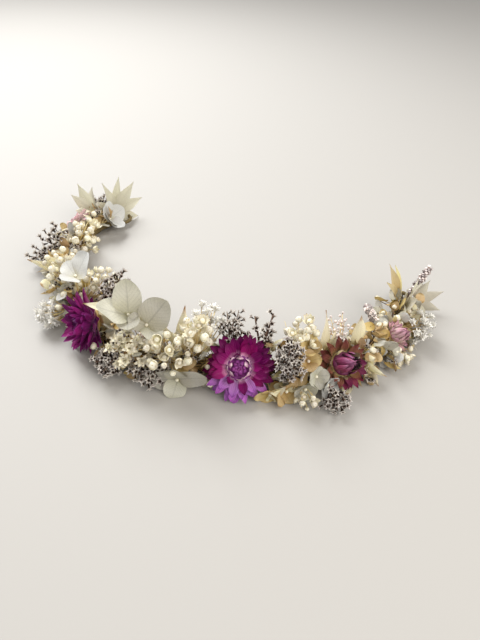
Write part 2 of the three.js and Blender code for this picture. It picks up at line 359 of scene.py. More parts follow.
class Piece:
    """Closed bits of mesh gathered into one object, each with its finish and the values that drive its colour."""

    def __init__(self, name):
        self.name = name
        self.bits = []

    def add(self, shape, finish, tint=0.5):
        self.bits.append((shape, finish, tint))

    def finish(self):
        shapes, finishes, tints = zip(*self.bits)
        points = np.vstack([shape.points for shape in shapes])
        room = SOFT_LANDING - FLOOR_GAP
        squeezed = FLOOR_GAP + room * np.exp(np.minimum(points[:, 2] - SOFT_LANDING, 0) / room)
        points[:, 2] = np.where(points[:, 2] < SOFT_LANDING, squeezed, points[:, 2])
        sizes = [len(shape.points) for shape in shapes]
        slots = list(dict.fromkeys(finishes))
        faces, slot_of_face = [], []
        for shape, finish, end, size in zip(shapes, finishes, np.cumsum(sizes), sizes):
            bit = (shape.quads + end - size).tolist() + (shape.tris + end - size).tolist()
            faces += bit
            slot_of_face += [slots.index(finish)] * len(bit)
        mesh = bpy.data.meshes.new(self.name)
        mesh.from_pydata(points.tolist(), [], faces)
        for finish in slots:
            mesh.materials.append(material(finish))
        mesh.polygons.foreach_set("material_index", slot_of_face)
        mesh.polygons.foreach_set("use_smooth", [True] * len(faces))
        values = {
            "tip": np.concatenate([shape.tip for shape in shapes]),
            "side": np.concatenate([shape.side for shape in shapes]),
            "tint": np.repeat(tints, sizes),
        }
        for key, value in values.items():
            mesh.attributes.new(key, "FLOAT", "POINT").data.foreach_set("value", value.astype(np.float32))
        mesh.update()
        mesh.set_sharp_from_angle(angle=RIM_ANGLE)
        return add_object(self.name, mesh)


# ---- materials ----

def srgb(code):
    """A colour written as six hex digits, as linear values."""
    channels = [int(code[i:i + 2], 16) / 255 for i in (0, 2, 4)]
    return tuple(c / 12.92 if c <= 0.04045 else ((c + 0.055) / 1.055) ** 2.4 for c in channels) + (1.0,)


class Nodes:
    """Short names for making one material's nodes."""

    def __init__(self, name):
        self.material = bpy.data.materials.new(name)
        self.material.use_nodes = True
        self.tree = self.material.node_tree
        self.tree.nodes.clear()

    def new(self, kind, inputs=None, **settings):
        node = self.tree.nodes.new("ShaderNode" + kind)
        for key, value in settings.items():
            setattr(node, key, value)
        for key, value in (inputs or {}).items():
            if isinstance(value, bpy.types.NodeSocket):
                self.tree.links.new(value, node.inputs[key])
            else:
                node.inputs[key].default_value = value
        return node

    def value(self, name):
        return self.new("Attribute", attribute_name=name).outputs["Fac"]

    def math(self, operation, a, b=0.0):
        return self.new("Math", {0: a, 1: b}, operation=operation).outputs[0]

    def add(self, a, b):
        return self.math("ADD", a, b)

    def times(self, a, b):
        return self.math("MULTIPLY", a, b)

    def swing(self, value, amount):
        """How far a value from 0 to 1 lies from the middle, times amount."""
        return self.times(self.math("SUBTRACT", value, 0.5), amount)

    def noise(self, scale, detail):
        where = self.new("TexCoord").outputs["Object"]
        inputs = {"Vector": where, "Scale": scale, "Detail": detail, "Roughness": 0.55}
        return self.new("TexNoise", inputs).outputs["Fac"]

    def ramp(self, factor, stops):
        node = self.new("ValToRGB", {"Fac": factor})
        elements = node.color_ramp.elements
        while len(elements) < len(stops):
            elements.new(0.5)
        for element, (position, color) in zip(elements, stops):
            element.position, element.color = position, srgb(color)
        return node.outputs["Color"]

    def bump(self, height, strength, distance):
        inputs = {"Height": height, "Strength": strength, "Distance": distance}
        return self.new("Bump", inputs).outputs["Normal"]

    def surface(self, **inputs):
        """Makes a principled shader, with inputs named as in its sockets but with _ for a space."""
        return self.new("BsdfPrincipled", {key.replace("_", " "): value for key, value in inputs.items()}).outputs[0]

    def finish(self, surface):
        self.new("OutputMaterial", {"Surface": surface})
        return self.material


# stops run from each bit's base to its end. shade and mottle are how far the colour differs from bit to bit and over
# each bit. through is the share of light that shines through. ridges, veins and crepe are the kinds of relief.
Finish = namedtuple("Finish", "stops roughness shade mottle through ridges veins crepe", defaults=(0, 0, 0, 0))
FINISHES = {
    "magenta bract": Finish(
        stops=[(0, "fbeef2"), (0.1, "e09cc6"), (0.27, "94126c"), (0.78, "6e0050"), (1, "380026")],
        roughness=0.34, through=0.2, ridges=16, shade=0.6, mottle=0.2),
    "purple bract": Finish(
        stops=[(0, "fbeef2"), (0.12, "dca0cc"), (0.3, "a03488"), (0.75, "861a6c"), (0.92, "8e3a86"), (1, "4a0a38")],
        roughness=0.3, through=0.2, ridges=16, shade=0.7, mottle=0.25),
    # Painted sheen: the light violet that the lower bracts of the middle head show where they catch the light at a
    # glancing angle.
    "violet bract": Finish(
        stops=[(0, "f4dcf2"), (0.2, "d690d6"), (0.65, "c878d2"), (1, "a44cb0")],
        roughness=0.28, through=0.25, ridges=16, shade=0.45, mottle=0.25),
    "pale ring bract": Finish(
        stops=[(0, "b478a6"), (0.5, "d2a4c0"), (0.8, "e6ccd4"), (1, "e0c0cc")],
        roughness=0.4, through=0.2, ridges=14, shade=0.3, mottle=0.25),
    "magenta bud": Finish(
        stops=[(0, "5c1a50"), (0.35, "8a3a86"), (0.7, "a452a0"), (0.9, "741c60"), (1, "34062a")],
        roughness=0.34, through=0.12, ridges=14, shade=0.5, mottle=0.15),
    "burgundy bract": Finish(
        stops=[(0, "a89060"), (0.25, "94664e"), (0.6, "80443c"), (1, "4c1620")],
        roughness=0.4, through=0.2, ridges=16, shade=0.5, mottle=0.4),
    "wine bract": Finish(
        stops=[(0, "a89060"), (0.25, "92425a"), (0.65, "7c2048"), (1, "4a0c2c")],
        roughness=0.36, through=0.2, ridges=16, shade=0.5, mottle=0.35),
    "olive bract": Finish(
        stops=[(0, "8c8660"), (0.4, "b4a680"), (0.8, "bfa080"), (1, "94605a")],
        roughness=0.42, through=0.15, ridges=16, shade=0.4, mottle=0.35),
    "mauve bract": Finish(
        stops=[(0, "885266"), (0.4, "8c3c62"), (0.8, "a4688c"), (1, "5e1c40")],
        roughness=0.26, through=0.15, ridges=14, shade=0.45, mottle=0.3),
    "dark florets": Finish(
        stops=[(0, "0c0306"), (1, "241016")], roughness=0.8, shade=0.5, mottle=0.6),
    "pale pink bract": Finish(
        stops=[(0, "faf4ee"), (0.5, "f6e2e2"), (0.85, "eec6cc"), (1, "dc9eaa")],
        roughness=0.4, through=0.25, ridges=14, shade=0.3, mottle=0.25),
    "pale pink bud": Finish(
        stops=[(0, "e8c8c4"), (0.5, "e6b4bc"), (1, "cc8494")],
        roughness=0.4, through=0.2, ridges=14, shade=0.3, mottle=0.25),
    "dusty pink bract": Finish(
        stops=[(0, "eadccc"), (0.4, "dcb4bc"), (0.8, "c894a8"), (1, "9c607c")],
        roughness=0.38, through=0.2, ridges=14, shade=0.35, mottle=0.3),
    "sepal": Finish(
        stops=[(0, "beb892"), (0.12, "d6d3c0"), (0.6, "e2e0d5"), (1, "d5d3c4")],
        roughness=0.5, through=0.45, veins=0.8, shade=0.2, mottle=0.3),
    "white sepal": Finish(
        stops=[(0, "d4ceb6"), (0.3, "e4e3de"), (1, "e9eae8")],
        roughness=0.5, through=0.4, veins=0.65, shade=0.15, mottle=0.25),
    "golden sepal": Finish(
        stops=[(0, "a47c36"), (0.3, "d0b478"), (0.8, "e2cc98"), (1, "c8ac70")],
        roughness=0.5, through=0.3, veins=0.7, shade=0.3, mottle=0.4),
    "olive sepal": Finish(
        stops=[(0, "a08048"), (0.4, "ccb084"), (0.8, "d4bc90"), (1, "a88c5c")],
        roughness=0.55, through=0.34, veins=0.8, shade=0.3, mottle=0.4),
    "leaf": Finish(
        stops=[(0, "d8c898"), (0.35, "f0e9cc"), (0.85, "f5f0dc"), (1, "b88a54")],
        roughness=0.55, through=0.4, veins=0.6, shade=0.25, mottle=0.3),
    "yellow leaf": Finish(
        stops=[(0, "c8ac5c"), (0.4, "e4d49c"), (1, "ece2b8")],
        roughness=0.55, through=0.3, veins=0.6, shade=0.25, mottle=0.35),
    "white leaf": Finish(
        stops=[(0, "cec4a2"), (0.3, "dcd7c5"), (1, "e2dfd1")],
        roughness=0.55, through=0.4, veins=0.35, shade=0.15, mottle=0.25),
    "bud": Finish(
        stops=[(0, "c0a860"), (0.2, "eee4c2"), (0.7, "faf6e6"), (0.92, "f4ecd2"), (1, "b89a60")],
        roughness=0.42, through=0.14, shade=0.25, mottle=0.25),
    "pearl": Finish(
        stops=[(0, "c8aa98"), (0.3, "ecdcd4"), (1, "f6eeea")],
        roughness=0.45, through=0.12, shade=0.3, mottle=0.3),
    # The dark base stops are the brown of the calyx tube outside, and painted shade down inside the funnel.
    "papery star": Finish(
        stops=[(0, "30231b"), (0.45, "44342a"), (0.57, "b4a89e"), (0.75, "e6e0d9"), (1, "f7f3ee")],
        roughness=0.6, through=0.3, shade=0.2, mottle=0.12),
    "white fluff": Finish(
        stops=[(0, "e8dec4"), (0.25, "f6f3ea"), (1, "fffefa")],
        roughness=0.65, through=0.15, shade=0.2, mottle=0.2),
    "mottled calyx": Finish(
        stops=[(0, "6a5658"), (0.4, "b4a4a2"), (0.8, "e6dcd8"), (1, "f4eeea")],
        roughness=0.7, through=0.05, ridges=6, shade=1.1, mottle=0.8),
    "brown twig": Finish(
        stops=[(0, "46342a"), (0.6, "5c463a"), (1, "77614f")],
        roughness=0.75, shade=0.5, mottle=0.6),
    "straw": Finish(
        stops=[(0, "9c8048"), (0.5, "c4a86c"), (1, "dac696")],
        roughness=0.6, shade=0.5, mottle=0.5),
    "floral tape": Finish(
        stops=[(0, "6a5c3c"), (1, "7c6c48")],
        roughness=0.72, shade=0.3, mottle=0.5, crepe=1.0),
    "hot glue": Finish(
        stops=[(0, "cfc4a0"), (1, "ddd6bc")],
        roughness=0.25, through=0.2, shade=0.2, mottle=0.2),
}


RIB_WIDTH, SIDE_VEINS, VEIN_SLANT = 0.055, 8.0, 3.4  # in half widths, veins on each side, and veins per half width
BLOTCH_SCALE, GRAIN_SCALE = 420.0, 2600.0  # noise, per metre
RELIEF = 0.12 * MM
CREPE_FOLDS = 160.0  # radians of the wave that puckers the tape
SHEEN, GLOSS = 0.02, 0.2


def vein_mask(n, tip, side):
    """A midrib and slanting side veins, 1 on a vein."""
    off = n.math("ABSOLUTE", side)
    rib = n.math("LESS_THAN", off, RIB_WIDTH)
    slant = n.math("SUBTRACT", n.times(tip, SIDE_VEINS), n.times(off, VEIN_SLANT))
    phase = n.math("PINGPONG", n.add(slant, n.times(n.noise(500.0, 3.0), 0.6)), 0.5)
    branch = n.math("SUBTRACT", 1.0, n.times(phase, 9.0))
    return n.math("MAXIMUM", rib, n.math("MAXIMUM", branch, 0.0))


def material(name):
    """A dry plant surface: colour from each bit's base to its end, varied from bit to bit and over its face."""
    found = bpy.data.materials.get(name)
    if found:
        return found
    look = FINISHES[name]
    n = Nodes(name)
    tip, side, tint = n.value("tip"), n.value("side"), n.value("tint")
    blotch, grain = n.noise(BLOTCH_SCALE, 4.0), n.noise(GRAIN_SCALE, 2.0)
    color = n.ramp(n.add(tip, n.swing(blotch, look.mottle)), look.stops)
    level = n.add(1.0, n.add(n.swing(tint, look.shade), n.swing(grain, 0.3)))
    height = n.add(grain, n.times(blotch, 0.6))
    if look.ridges:
        ridge = n.math("SINE", n.times(side, float(look.ridges)))
        level = n.add(level, n.times(ridge, 0.07))
        height = n.add(height, n.times(ridge, 0.7))
    if look.veins:
        veins = n.times(vein_mask(n, tip, side), look.veins)
        level = n.math("SUBTRACT", level, n.times(veins, 0.16))
        height = n.add(height, veins)
    if look.crepe:
        height = n.add(height, n.times(n.math("SINE", n.times(side, CREPE_FOLDS)), 0.5))
    hue = n.add(0.5, n.swing(tint, 0.03))
    color = n.new("HueSaturation", {"Hue": hue, "Value": level, "Color": color}).outputs["Color"]
    normal = n.bump(height, 0.5, RELIEF)
    surface = n.surface(
        Base_Color=color, Roughness=look.roughness, Normal=normal, Sheen_Weight=SHEEN, Specular_IOR_Level=GLOSS)
    if look.through:
        glow = n.new("BsdfTranslucent", {"Color": color, "Normal": normal}).outputs[0]
        surface = n.new("MixShader", {0: look.through, 1: surface, 2: glow}).outputs[0]
    return n.finish(surface)


def wire_material():
    n = Nodes("annealed wire")
    scratch = n.noise(1800.0, 5.0)
    color = n.ramp(scratch, [(0.3, "4a4640"), (0.6, "6a655c"), (1, "86807a")])
    rough = n.add(0.35, n.times(scratch, 0.3))
    normal = n.bump(scratch, 0.3, 0.05 * MM)
    return n.finish(n.surface(Base_Color=color, Metallic=0.9, Roughness=rough, Normal=normal))


# ---- where each CAD solid sits ----

class Place:
    """A solid's place on the wire: its root on the wire's line, and its own directions and sizes."""

    TAPED = 3 * MM  # stalks start at least this far inside the tape's ends

    def __init__(self, node):
        points = node_points(node)
        centre = points.mean(0)
        gaps = np.linalg.norm(points - wire.at(wire.nearest(centre)), axis=1)
        distance = np.clip(wire.nearest(points[gaps.argmin()]), self.TAPED, wire.length - self.TAPED)
        self.root = wire.at(distance)
        self.out = unit(centre - self.root)
        self.along = across_of(self.out, wire.along(distance))
        self.across = np.cross(self.out, self.along)
        local = (points - self.root) @ np.array([self.along, self.across, self.out]).T
        self.spread, self.width = np.abs(local[:, :2]).max(0)
        self.start, self.end = local[:, 2].min(), local[:, 2].max()
        flat_way = np.linalg.svd(points - centre, full_matrices=False)[2][2]
        self.flat_way = flat_way * (1 if flat_way @ self.out >= 0 else -1)

    def point(self, along, across, out):
        """A point given in shares of the solid's half spread, half width and length."""
        return (self.root + self.along * (along * self.spread) + self.across * (across * self.width)
                + self.out * mix(self.start, self.end, out))

    def above(self, height):
        return self.root + self.out * height

    def dome(self, count, swell, low):
        """Points spread evenly over the solid's rounded outer end, from its top down to low times its half height."""
        found = []
        for i in range(count):
            level = 1 - (1 - low) * (i + 0.5) / count
            ring = sqrt(max(0, 1 - level ** 2))
            turn = i * GOLDEN_ANGLE
            found.append(self.point(swell * ring * cos(turn), swell * ring * sin(turn), 0.55 + 0.45 * swell * level))
        return found


STEM_ROWS = 7
ON_TAPE = 2.6 * MM  # stems lie this far from the wire's line


def stem_path(place, target, rng, run=6 * MM):
    """A stalk that runs beside the wire, then turns away from it towards its target."""
    back = run * rng.uniform(0.6, 1.4)
    start = place.root - place.along * back + place.out * ON_TAPE
    start = start + place.across * rng.uniform(-1.2, 1.2) * MM
    control = mix(place.root, target, 0.35) + place.out * 1.5 * MM
    return bezier(start, control, target, STEM_ROWS)


def add_stalk(piece, path, thick, thin, finish="straw", tint=0.5, sides=5):
    """A stalk along a path, from one radius to the other (mm)."""
    piece.add(tube(path, np.linspace(thick, thin, len(path)) * MM, sides), finish, tint)


# ---- flower heads ----

# Keys run from the innermost bract to the outermost. Lengths are shares of the head's radius, heights of its depth,
# and leans are degrees away from the head's own axis at the bract's base and at its end.
Head = namedtuple("Head", "count keys base height length lean_base lean_end half_width taper_from point finishes")

OPEN_HEAD = Head(
    count=94,
    keys=[0, 0.14, 0.3, 0.34, 0.42, 0.46, 0.72, 1],
    base=[0.03, 0.16, 0.27, 0.33, 0.35, 0.35, 0.37, 0.38],
    height=[0.44, 0.44, 0.44, 0.42, 0.42, 0.4, 0.3, 0.16],
    length=[0.18, 0.24, 0.28, 0.28, 0.28, 0.54, 0.64, 0.7],
    lean_base=[0, 4, 8, 16, 18, 54, 68, 84],
    lean_end=[-70, -96, -90, -44, -30, 70, 86, 100],
    half_width=[0.05, 0.065, 0.075, 0.12, 0.12, 0.145, 0.15, 0.145],
    taper_from=0.5,
    point=0.82,
    finishes=[(0.31, "magenta bud"), (0.43, "pale ring bract"), (1, "magenta bract")],
)
BURGUNDY_HEAD = Head(
    count=58,
    keys=[0, 0.25, 0.44, 0.48, 0.56, 0.78, 1],
    base=[0.04, 0.3, 0.44, 0.47, 0.5, 0.5, 0.48],
    height=[0.5, 0.42, 0.32, 0.3, 0.26, 0.18, 0.1],
    length=[0.56, 0.76, 0.74, 0.46, 0.46, 0.54, 0.58],
    lean_base=[0, 4, 10, 20, 40, 62, 80],
    lean_end=[-46, -54, -46, 4, 56, 78, 94],
    half_width=[0.09, 0.12, 0.15, 0.17, 0.17, 0.17, 0.17],
    taper_from=0.22,
    point=1.0,
    finishes=[(0.44, "mauve bract"), (0.54, "olive bract"), (1, "burgundy bract")],
)
SIDE_HEAD = OPEN_HEAD._replace(
    count=92,
    length=[0.3, 0.4, 0.5, 0.6, 0.66, 0.78, 0.8, 0.74],
    half_width=[0.08, 0.1, 0.12, 0.14, 0.15, 0.17, 0.17, 0.16],
    lean_base=[0, 4, 8, 12, 18, 34, 56, 80],
    lean_end=[-50, -40, -20, 0, 14, 30, 52, 84],
    finishes=[(0.3, "magenta bud"), (1, "purple bract")],
)
PALE_HEAD = OPEN_HEAD._replace(
    count=72,
    finishes=[(0.39, "pale pink bud"), (1, "pale pink bract")],
)
HALF_CLOSED_HEAD = BURGUNDY_HEAD._replace(
    count=52,
    lean_end=[-46, -52, -40, -14, 18, 44, 66],
    finishes=[(1, "dusty pink bract")],
)

BRACT_STEPS = np.array([0, 0.12, 0.26, 0.42, 0.58, 0.7, 0.8, 0.88, 0.94, 1.0])
HEAD_CORE = lathe([(0, 0.1), (0.34, 0.12), (0.44, 0.3), (0.36, 0.42), (0.16, 0.5), (0, 0.52)], 18)
HEAD_CUP = lathe([(0, 0.02), (0.2, 0.02), (0.42, 0.1), (0.46, 0.2), (0.3, 0.22), (0, 0.22)], 18)
HEART_FLORETS = 30
TURN_SCATTER, LEAN_SCATTER = 0.07, 8  # radians and degrees


def bract(base, outward, axis, tangent, length, lean_base, lean_end, half_width, taper_from, point):
    """One stiff papery scale: it curves in the plane of outward and axis, and is creased along its middle."""
    lean = np.radians(mix(lean_base, lean_end, BRACT_STEPS ** 1.3))
    steps = np.diff(BRACT_STEPS, prepend=0) * length
    ways, facing = leaning(axis, outward, lean)
    spine = base + np.cumsum(ways * steps[:, None], axis=0)
    swell = 0.5 + 0.5 * np.clip(BRACT_STEPS / 0.5, 0, 1)
    end = np.clip((BRACT_STEPS - taper_from) / (1 - taper_from), 0, 1)
    taper = (1 - end ** 1.8) ** point
    width = half_width * swell * np.maximum(taper, 0.04)
    return petal(spine, facing, tangent, width, cup=0.5, crease=1.35, thickness=0.16 * MM, sides=7)


# A second finish for some bracts on one side of a head, used both for a real colour and for painted sheen where that
# side catches the light: those further from its middle than inner, from 0 to 1.
Accent = namedtuple("Accent", "finish side inner")


def strawflower(name, head, seed, hole=None, accent=None):
    """A strawflower on the CAD head's axis: hole is the side where its inner bracts gape.

    Sides are angles about the axis, from the way along the wire.
    """
    rng = np.random.default_rng(seed)
    solid = turned_head(name)
    axis, along, across, radius = solid.axis, solid.along, solid.across, solid.radius
    levels = (solid.points - solid.centre) @ axis
    back = solid.centre + axis * levels.min()
    depth = levels.max() - levels.min()
    piece = Piece(f"strawflower_{name}")
    for i in range(head.count):
        share = (i + 0.5) / head.count
        turn = i * GOLDEN_ANGLE + rng.normal(0, TURN_SCATTER)
        outward = about(axis, along, turn)
        tangent = np.cross(axis, outward)

        def at(row):
            return float(np.interp(share, head.keys, row))

        length = at(head.length) * radius * rng.uniform(0.84, 1.1)
        lean_end = at(head.lean_end) + rng.normal(0, LEAN_SCATTER)
        if hole is not None and share < head.finishes[0][0]:
            gape = max(0.0, cos(turn - hole)) ** 2
            length *= 1 - 0.6 * gape
            lean_end += 50 * gape
        base = back + axis * (at(head.height) * depth) + outward * (at(head.base) * radius)
        shape = bract(base, outward, axis, tangent, length, at(head.lean_base), lean_end,
                      at(head.half_width) * radius * rng.uniform(0.8, 1.15), head.taper_from, head.point)
        finish = next(f for limit, f in head.finishes if share <= limit)
        # Bracts on the accent's side take its finish; the violet one is painted sheen.
        if accent and share > accent.inner and cos(turn - accent.side) > 0.4 + 0.25 * rng.normal():
            finish = accent.finish
        piece.add(shape, finish, rng.uniform())
    scale = (along * radius, across * radius, axis * depth)
    piece.add(moved(HEAD_CORE, back, *scale), head.finishes[0][1], 0.3)
    piece.add(moved(HEAD_CUP, back, *scale), "straw", 0.4)
    if hole is not None:
        sideways = about(axis, along, hole)
        heart = back + axis * 0.62 * depth + sideways * 0.2 * radius
        for i in range(HEART_FLORETS):
            ring = sqrt((i + 0.5) / HEART_FLORETS) * 0.24 * radius
            foot = heart + about(axis, along, i * GOLDEN_ANGLE) * ring
            top = foot + unit(axis + 0.5 * sideways) * 0.16 * depth
            piece.add(tube([foot - axis * 0.2 * depth, foot, top], [0.4 * MM, 0.45 * MM, 0.2 * MM]), "dark florets")
    finish_piece(piece)


def finish_piece(piece):
    """Makes the object, rides it on the body of the CAD solid of its name and lets it stand for that solid."""
    thing = piece.finish()
    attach(thing, BODY_OF[piece.name])
    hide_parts(piece.name)


GLUE = lathe([(0, -1), (0.62, -1), (0.92, -0.72), (0.98, -0.3), (0.86, 0.2), (0.9, 0.7), (0.7, 1), (0, 1)],
             24, lobes=5, lobe_depth=0.06)
GLUE_SCATTER = 0.05


def glue_pad(name, seed):
    rng = np.random.default_rng(seed)
    solid = turned(f"glue_pad_{name}")
    half = np.abs((solid.points - solid.centre) @ solid.axis).max()
    scale = (solid.along * solid.radius, solid.across * solid.radius, solid.axis * half)
    uneven = 1 + GLUE_SCATTER * rng.normal(size=(len(GLUE.points), 1))
    piece = Piece(f"glue_pad_{name}")
    piece.add(moved(GLUE._replace(points=GLUE.points * uneven), solid.centre, *scale), "hot glue")
    finish_piece(piece)


# ---- sprigs and florets ----

STAR = star_funnel()
BUD = lathe([(0, 0), (0.34, 0.05), (0.78, 0.36), (1, 0.85), (0.97, 1.2), (0.74, 1.6), (0.42, 1.82),
             (0.2, 1.84), (0.1, 1.74), (0, 1.7)], 15, lobes=5, lobe_depth=0.05)
PEARL = lathe([(0, 0), (0.6, 0.18), (0.95, 0.7), (0.95, 1.2), (0.6, 1.75), (0, 1.95)], 10)
CALYX = lathe([(0, 0), (0.5, 0.1), (0.8, 0.8), (0.75, 1.8), (0.95, 2.6), (0.5, 2.5), (0, 2.1)], 8, 4, 0.1)


def add_aimed(piece, shape, origin, axis, size, finish, rng, tint=None):
    """One small shape that points along axis, turned at random about it."""
    x = about(axis, across_of(axis, ABOUT_UP), rng.uniform(0, 2 * pi))
    y = np.cross(axis, x)
    piece.add(moved(shape, origin, x * size, y * size, axis * size), finish, rng.uniform() if tint is None else tint)


FORK = 3 * MM  # stout stalks leave the wire's line at this height
STARRY_FROM = 0.42  # the share of a twig that is bare
PEARLS_FROM = 3.2  # the rows of a stalk, out of STEM_ROWS, that are bare


def limonium_sprig(piece, place, rng, twigs=11, stars=7, size=1.55 * MM, stout=1.0):
    hub = place.point(0, 0, 0.15)
    add_stalk(piece, stem_path(place, hub, rng, run=12 * MM), 0.6 * stout, 0.42 * stout, "brown twig", sides=6)
    for target in place.dome(twigs, 1.05, -0.35):
        start = mix(place.above(FORK), hub, rng.uniform(0.3, 1))
        control = mix(start, target, 0.5) + place.out * rng.uniform(0, 1.6) * MM
        path = bezier(start, control, target, STEM_ROWS)
        add_stalk(piece, path, 0.34 * stout, 0.16 * stout, "brown twig", rng.uniform())
        ways = ways_along(path)
        for j in range(stars):
            share = mix(STARRY_FROM, 1.0, (j + rng.uniform(0.2, 0.8)) / stars)
            point, step = on_path(path, share * (STEM_ROWS - 1))
            way = ways[step]
            side = about(way, across_of(way, place.along), j * GOLDEN_ANGLE + rng.uniform(-0.4, 0.4))
            axis = unit(way * rng.uniform(0.2, 0.9) + side + 0.5 * place.out)
            foot = point + side * rng.uniform(0.2, 1.0) * MM
            piece.add(tube([point, foot], 0.13 * MM, 4), "brown twig")
            add_aimed(piece, STAR, foot, axis, size * rng.uniform(0.8, 1.15), "papery star", rng)


OPENED_SHARE = 0.3


def bud_spray(piece, place, rng, buds=15, size=1.65 * MM):
    for i, target in enumerate(place.dome(buds, 1.0, -0.5) + place.dome(buds // 3, 0.5, -0.4)):
        opened = rng.uniform() < OPENED_SHARE
        radius = size * (rng.uniform(0.5, 0.7) if opened else rng.uniform(0.62, 1.1))
        target = target + rng.normal(0, 0.5, 3) * MM
        path = stem_path(place, target, rng, run=4 * MM)
        add_stalk(piece, path, 0.26, 0.17, tint=rng.uniform())
        axis = unit(path[-1] - path[-3] + rng.normal(0, 0.3, 3) * np.linalg.norm(path[-1] - path[-3]))
        add_bud(piece, target, axis, radius, rng, opened)
        if i % 2 == 0:
            loose = target + rng.normal(0, 2.2, 3) * MM
            add_stalk(piece, stem_path(place, loose, rng, run=2 * MM), 0.2, 0.1, tint=rng.uniform(), sides=4)


BUD_BRACT_WIDTH = np.array([0.25, 0.55, 0.72, 0.66, 0.4, 0.05])


def add_bud(piece, foot, axis, radius, rng, opened=False):
    """A round bud in its papery bracts. openness is how far out their ends stand, as shares of their size."""
    add_aimed(piece, BUD, foot, axis, radius, "bud", rng)
    side = across_of(axis, ABOUT_UP)
    bracts, size, openness = (9, 1.5 * radius, (0.7, 1.7)) if opened else (6, radius, (0.5, 1.1))
    for j in range(bracts):
        way = about(axis, side, j * GOLDEN_ANGLE + rng.uniform(-0.3, 0.3))
        end = foot + way * rng.uniform(*openness) * size + axis * rng.uniform(1.5, 2.1) * size
        spine = bezier(foot, foot + way * 1.5 * size + axis * 0.4 * size, end, len(BUD_BRACT_WIDTH))
        shape = petal(spine, unit(-way + 0.2 * axis), np.cross(axis, way), BUD_BRACT_WIDTH * size, cup=0.35,
                      thickness=0.12 * MM)
        piece.add(shape, "bud", rng.uniform())


def pearl_spray(piece, place, rng, twigs=8, pearls=8, size=0.62 * MM):
    for target in place.dome(twigs, 1.1, -0.3):
        path = stem_path(place, target, rng, run=5 * MM)
        add_stalk(piece, path, 0.24, 0.12, tint=rng.uniform())
        for j in range(pearls):
            point, step = on_path(path, mix(PEARLS_FROM, STEM_ROWS - 1, (j + 0.6) / pearls))
            way = unit(path[step + 1] - path[step])
            side = unit(about(way, across_of(way, place.along), j * GOLDEN_ANGLE) + 0.5 * way)
            foot = point + side * rng.uniform(0.7, 1.5) * MM
            piece.add(tube([point, foot], 0.1 * MM, 4), "straw")
            add_aimed(piece, PEARL, foot, side, size * rng.uniform(0.8, 1.2), "pearl", rng)


FLUFF_WIDTH = np.array([0.07, 0.11, 0.15, 0.17, 0.13, 0.02])


def statice_tuft(piece, place, rng, florets=16, petals=15, size=3.4 * MM, finish="white fluff"):
    for target in place.dome(florets, 1.0, -0.3) + place.dome(florets // 2, 0.55, -0.3):
        target = target + rng.normal(0, 0.5, 3) * MM
        path = stem_path(place, target, rng, run=4 * MM)
        add_stalk(piece, path, 0.3, 0.2, tint=rng.uniform())
        axis = unit(path[-1] - path[-3] + 0.4 * place.out * MM)
        side = across_of(axis, place.along)
        for j in range(petals):
            way = about(axis, side, j * GOLDEN_ANGLE)
            lean = radians(mix(12, 70, (j + 0.5) / petals))
            length = size * rng.uniform(0.7, 1.15)
            first, last = (leaning(axis, way, share * lean)[0] for share in (0.4, 1.3))
            end = target + (first + last) * 0.5 * length
            spine = bezier(target, target + first * 0.55 * length, end, len(FLUFF_WIDTH))
            shape = petal(spine, leaning(axis, way, lean)[1], np.cross(axis, way), FLUFF_WIDTH * size, cup=0.5,
                          thickness=0.1 * MM, sides=3, ripple=0.2)
            piece.add(shape, finish, rng.uniform())


SPIKE_ROWS = 12
BARE_ROWS = 2.4  # of those, the stalk below the first calyx
SPIKE_FAT = 1.25 * MM
CALYX_TINTS = [0.05, 0.3, 0.6, 0.95]


def mottled_spike(piece, place, rng, bits=110, size=0.62 * MM):
    """A narrow flower spike, closely set with small woolly calyxes."""
    start, end = place.above(FORK), place.point(0, 0, 1.02)
    control = mix(start, end, 0.55) + place.along * 1.5 * MM
    path = bezier(start, control, end, SPIKE_ROWS)
    add_stalk(piece, path, 0.6, 0.3, "brown twig", sides=6)
    ways = ways_along(path)
    for i in range(bits):
        point, step = on_path(path, mix(BARE_ROWS, SPIKE_ROWS - 1, ((i + 0.5) / bits) ** 0.9))
        way = ways[step]
        side = about(way, across_of(way, place.along), i * GOLDEN_ANGLE)
        fat = SPIKE_FAT * sin(pi * mix(0.25, 0.85, i / bits))
        foot = point + side * 0.35 * fat
        add_aimed(piece, CALYX, foot, unit(way * 0.9 + side), size * rng.uniform(0.75, 1.25), "mottled calyx", rng,
                  rng.choice(CALYX_TINTS))


def add_sheet(piece, spine, facing, across, twist, half_width, rng, finish, **form):
    """A leaf or a sepal with a waved edge: twist is how far it has turned about its spine at each point."""
    twist = twist[:, None]
    across = unit(across * np.cos(twist) + facing * np.sin(twist))
    shape = petal(spine, np.cross(ways_along(spine), across), across, half_width, ripple=0.07,
                  phase=rng.uniform(0, 6), **form)
    piece.add(shape, finish, rng.uniform())


LEAF_WIDTH = np.array([0.12, 0.45, 0.78, 0.96, 1.0, 0.9, 0.7, 0.46, 0.2, 0.03])


def add_leaf(piece, start, end, facing, half_width, rng, finish, curl):
    """A pointed leaf, folded along its midrib and curled back towards its tip."""
    way = unit(end - start)
    across = unit(np.cross(facing, way))
    facing = np.cross(way, across)
    length = np.linalg.norm(end - start)
    control = mix(start, end, 0.5) + facing * curl * length
    spine = bezier(start, control, end, len(LEAF_WIDTH))
    twist = np.linspace(0, rng.uniform(-0.5, 0.5), len(spine))
    add_sheet(piece, spine, facing, across, twist, half_width * LEAF_WIDTH, rng, finish, cup=0.35,
              thickness=0.2 * MM, sides=7)


LEAF_TILT = 0.35


